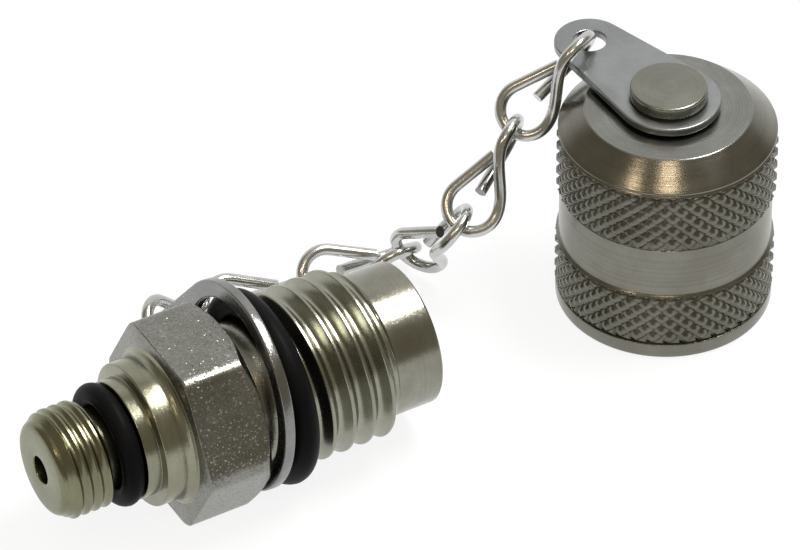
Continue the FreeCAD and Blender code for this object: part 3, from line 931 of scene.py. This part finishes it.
def capOutline(v):
    return [
        (0.0, v["mouthR"], 0.1),
        (0.0, v["rimR"], 0.7),
        (1.6, v["rimR"], 0.08),
        (1.75, v["shellR"]),
        (7.1, v["shellR"]),
        (7.15, 9.95, 0.03),
        (7.42, v["bandR"], 0.03),
        (12.5, v["bandR"], 0.02),
        (12.7, v["shellR"]),
        (18.75, v["shellR"]),
        (18.8, 9.93, 0.03),
        (19.0, v["stepR"], 0.02),
        (19.1, v["stepR"], 0.02),
        (19.15, v["rimR"], 0.02),
        (19.3, v["rimR"], 0.16),
        (v["height"], v["topR"], 0.25),
        (v["height"], v["shankR"]),
        (v["shankTo"], v["shankR"]),
        (v["shankTo"], 0.0),
        (v["depth"], 0.0),
        (v["depth"], v["reliefR"], 0.2),
        (v["reliefFrom"], v["reliefR"]),
        (v["reliefFrom"], v["boreR"]),
        (1.6, v["boreR"]),
        (v["mouthDepth"], 8.6),
        (v["mouthDepth"], v["mouthR"], 0.05)]


shellMesh = turned("cap_shell", capOutline(cap), "Z", capCentre)
addPiece("cap_shell", shellMesh, "cap", "cap", "plated_cap", "screw_cap")

innerThread = {"Start": 1.3, "End": 12.2, "Pitch": 2.0, "Base Radius": 8.15, "Depth": 1.2, "Side": -1.0,
               "Start Height": 0.0, "Start Slope": 1.1, "End Height": 0.6, "End Slope": 2.0,
               "Wall Radius": 8.5, "Phase": 0.0, "Crest Width": 0.1, "Root Width": 0.9,
               "Rows": 20, "Segments": 144}
capThread = threadMesh("cap_thread_cut", innerThread, "cap")
capThread.transform(frameMatrix((axisZ, axisX, Vector((0, 1, 0))), capCentre * mm))
addPiece("cap_thread_cut", finishMesh(capThread, 40), "cap", "cap", "plated_cap", "screw_cap")


# Knurl: blunt four-sided pyramids on a staggered lattice, cut off at the band's ends

def knurlTree():
    tree, entry = openTree(
        "knurled band",
        ("From", "To", "Root Radius", "Outer Radius", "Pitch", "Edge", "Cover", "Top Width"),
        ("Around",))
    low, high, root, around = entry["From"], entry["To"], entry["Root Radius"], entry["Around"]
    half = over(tree, entry["Pitch"], 2.0)
    rows = plus(tree, calc(tree, "CEIL", over(tree, minus(tree, high, low), half)), 1.0)
    lattice = addNode(tree, "GeometryNodePoints")
    tree.links.new(times(tree, rows, around), lattice.inputs["Count"])
    index = addNode(tree, "GeometryNodeInputIndex").outputs[0]
    row = calc(tree, "FLOOR", over(tree, plus(tree, index, 0.5), around))
    column = minus(tree, index, times(tree, row, around))
    shifted = plus(tree, column, times(tree, calc(tree, "MODULO", row, 2.0), 0.5))
    angle = times(tree, over(tree, shifted, around), fullTurn)
    x = times(tree, root, calc(tree, "COSINE", angle))
    y = times(tree, root, calc(tree, "SINE", angle))
    tree.links.new(joined(tree, x, y, plus(tree, low, times(tree, row, half))), lattice.inputs["Position"])

    # One pyramid, laid on every point
    pyramid = addNode(tree, "GeometryNodeMeshCone")
    pyramid.inputs["Vertices"].default_value = 4
    pyramid.inputs["Radius Bottom"].default_value = 1.0
    pyramid.inputs["Depth"].default_value = 1.0
    tree.links.new(entry["Top Width"], pyramid.inputs["Radius Top"])
    halfAround = over(tree, times(tree, root, math.pi), around)
    rise = minus(tree, entry["Outer Radius"], root)
    cover = entry["Cover"]
    size = joined(tree, times(tree, half, cover), times(tree, halfAround, cover), rise)
    lay = addNode(tree, "GeometryNodeInstanceOnPoints")
    tree.links.new(lattice.outputs[0], lay.inputs["Points"])
    tree.links.new(pyramid.outputs["Mesh"], lay.inputs["Instance"])
    tree.links.new(joined(tree, 0.0, math.pi / 2, angle), lay.inputs["Rotation"])
    tree.links.new(size, lay.inputs["Scale"])
    real = addNode(tree, "GeometryNodeRealizeInstances")
    tree.links.new(lay.outputs[0], real.inputs["Geometry"])

    # Cut to the band, with a slope at its two edges
    x, y, z = position(tree)
    z = held(tree, z, low, high)
    distance = fromAxis(tree, x, y)
    near = smaller(tree, minus(tree, z, low), minus(tree, high, z))
    drop = larger(tree, minus(tree, entry["Edge"], near), 0.0)
    limit = minus(tree, entry["Outer Radius"], drop)
    shrink = over(tree, smaller(tree, distance, limit), distance)
    place = joined(tree, times(tree, x, shrink), times(tree, y, shrink), z)
    closeTree(tree, moved(tree, real.outputs[0], place))
    return tree


knurls = knurlTree()
knurl = {"Root Radius": 9.58 * mm, "Outer Radius": 9.98 * mm, "Pitch": 1.43 * mm, "Edge": 0.3 * mm,
         "Cover": 1.0, "Top Width": 0.45, "Around": 41}
knurlBands = {"lower_knurl": (1.68, 7.12), "upper_knurl": (12.6, 18.77)}
for name, (start, stop) in knurlBands.items():
    seed = bpy.data.meshes.new(name + " seed")
    band = runNodes(name, seed, knurls, dict(knurl, From=start * mm, To=stop * mm), "knurl")
    band.transform(Matrix.Translation(capCentre * mm))
    addPiece(name, smoothed(band, 75), "knurl", "cap", "plated_cap", "screw_cap")

rivet = {"shankR": 2.0, "neckR": 3.1, "headR": 3.5, "headFrom": 22.7, "top": 23.8, "shankFrom": 18.4}
rivetOutline = [
    (rivet["shankFrom"], 0.0),
    (rivet["shankFrom"], rivet["shankR"]),
    (cap["height"], rivet["shankR"]),
    (cap["height"], rivet["neckR"]),
    (rivet["headFrom"], rivet["neckR"], 0.1),
    (rivet["headFrom"], rivet["headR"], 0.08),
    (rivet["top"], rivet["headR"], 0.24),
    (rivet["top"], 0.0)]
rivetMesh = turned("rivet", rivetOutline, "Z", capCentre, closed=False)
addPiece("rivet", rivetMesh, "rivet", "cap", "rivet_steel", "cap_rivet")
print("cap")


# Stage: white floor that keeps the shadow, lamps, world and camera

def rayShare(tree, *kinds):
    path = addNode(tree, "ShaderNodeLightPath")
    total = path.outputs[kinds[0]]
    for kind in kinds[1:]:
        total = plus(tree, total, path.outputs[kind])
    return smaller(tree, total, 1.0)


stage = {"half": 3.0, "own": 0.865, "matte": 0.12}
half = stage["half"]
floorMesh = bpy.data.meshes.new("floor")
floorCorners = [(x * half, y * half, places["floor"] * mm) for x, y in ((-1, -1), (1, -1), (1, 1), (-1, 1))]
floorMesh.from_pydata(floorCorners, [], [(0, 1, 2, 3)])
floor = bpy.data.objects.new("floor", floorMesh)
scene.collection.objects.link(floor)
floorMaterial = bpy.data.materials.new("white floor")
floorMaterial.use_nodes = True
tree = floorMaterial.node_tree
tree.nodes.clear()
matte = addNode(tree, "ShaderNodeBsdfDiffuse")
matte.inputs["Color"].default_value = colour(stage["matte"], stage["matte"], stage["matte"])
glow = addNode(tree, "ShaderNodeEmission")
seen = rayShare(tree, "Is Camera Ray", "Is Glossy Ray", "Is Transmission Ray")
tree.links.new(times(tree, seen, stage["own"]), glow.inputs["Strength"])
both = addNode(tree, "ShaderNodeAddShader")
output = addNode(tree, "ShaderNodeOutputMaterial")
tree.links.new(matte.outputs[0], both.inputs[0])
tree.links.new(glow.outputs[0], both.inputs[1])
tree.links.new(both.outputs[0], output.inputs["Surface"])
floorMesh.materials.append(floorMaterial)

# World: white to the camera, plain light for matte surfaces, a tinted room with a ceiling in reflections
room = {"side": (0.295, 0.262, 0.203), "sideWay": (-0.499, -0.866), "sideEdge": (-0.72, -0.38),
        "ceiling": (0.55, 0.53, 0.48), "ceilingEdge": (0.84, 0.93), "ambient": (0.75, 0.75, 0.75)}
world = bpy.data.worlds.new("studio")
scene.world = world
world.use_nodes = True
tree = world.node_tree
tree.nodes.clear()
x, y, z = split(tree, addNode(tree, "ShaderNodeTexCoord").outputs["Generated"])
towards = plus(tree, times(tree, x, room["sideWay"][0]), times(tree, y, room["sideWay"][1]))
white = colour(1, 1, 1)
shade = mixed(tree, stepped(tree, towards, *room["sideEdge"]), white, colour(*room["side"]))
shade = mixed(tree, stepped(tree, z, *room["ceilingEdge"]), shade, colour(*room["ceiling"]))
tint = mixed(tree, rayShare(tree, "Is Glossy Ray", "Is Transmission Ray"), colour(*room["ambient"]), shade)
tint = mixed(tree, rayShare(tree, "Is Camera Ray"), tint, white)
background = addNode(tree, "ShaderNodeBackground")
tree.links.new(tint, background.inputs["Color"])
output = addNode(tree, "ShaderNodeOutputWorld")
tree.links.new(background.outputs[0], output.inputs["Surface"])

lampAim = Vector((30, 4, 0)) * mm
lamps = {
    "softbox": {"from": (0.383, -0.066, 0.921), "distance": 0.7, "size": (0.34, 0.22), "power": 4.6,
                "tint": (1, 0.99, 0.97)},
    "warm left": {"from": (-0.62, -0.22, 0.76), "distance": 0.9, "size": (0.12, 0.1), "power": 0.42,
                  "tint": (1, 0.8, 0.58)},
    "warm middle": {"from": (-0.25, -0.5, 0.83), "distance": 0.9, "size": (0.2, 0.1), "power": 0.75,
                    "tint": (1, 0.8, 0.6)},
}
for name, v in lamps.items():
    data = bpy.data.lights.new(name, "AREA")
    data.shape = "RECTANGLE"
    data.size, data.size_y = v["size"]
    data.energy = v["power"]
    data.color = v["tint"]
    lamp = bpy.data.objects.new(name, data)
    way = Vector(v["from"]).normalized()
    lamp.location = lampAim + way * v["distance"]
    lamp.rotation_mode = "QUATERNION"
    lamp.rotation_quaternion = way.to_track_quat("Z", "Y")
    scene.collection.objects.link(lamp)

shot = {"place": (-201.2, -396.2, 395.8), "aim": (36.06, 15.58, -8.45), "roll": -0.156, "lens": 305.56,
        "film": 36.0, "near": 0.01, "far": 50.0}
cameraData = bpy.data.cameras.new("camera")
cameraData.lens = shot["lens"]
cameraData.sensor_width = shot["film"]
cameraData.clip_start = shot["near"]
cameraData.clip_end = shot["far"]
camera = bpy.data.objects.new("camera", cameraData)
scene.collection.objects.link(camera)
eye = Vector(shot["place"]) * mm
level = (eye - Vector(shot["aim"]) * mm).to_track_quat("Z", "Y")
camera.rotation_mode = "QUATERNION"
camera.rotation_quaternion = level @ Quaternion(axisZ, math.radians(shot["roll"]))
camera.location = eye
scene.camera = camera
scene.view_settings.view_transform = "Standard"
print("stage")
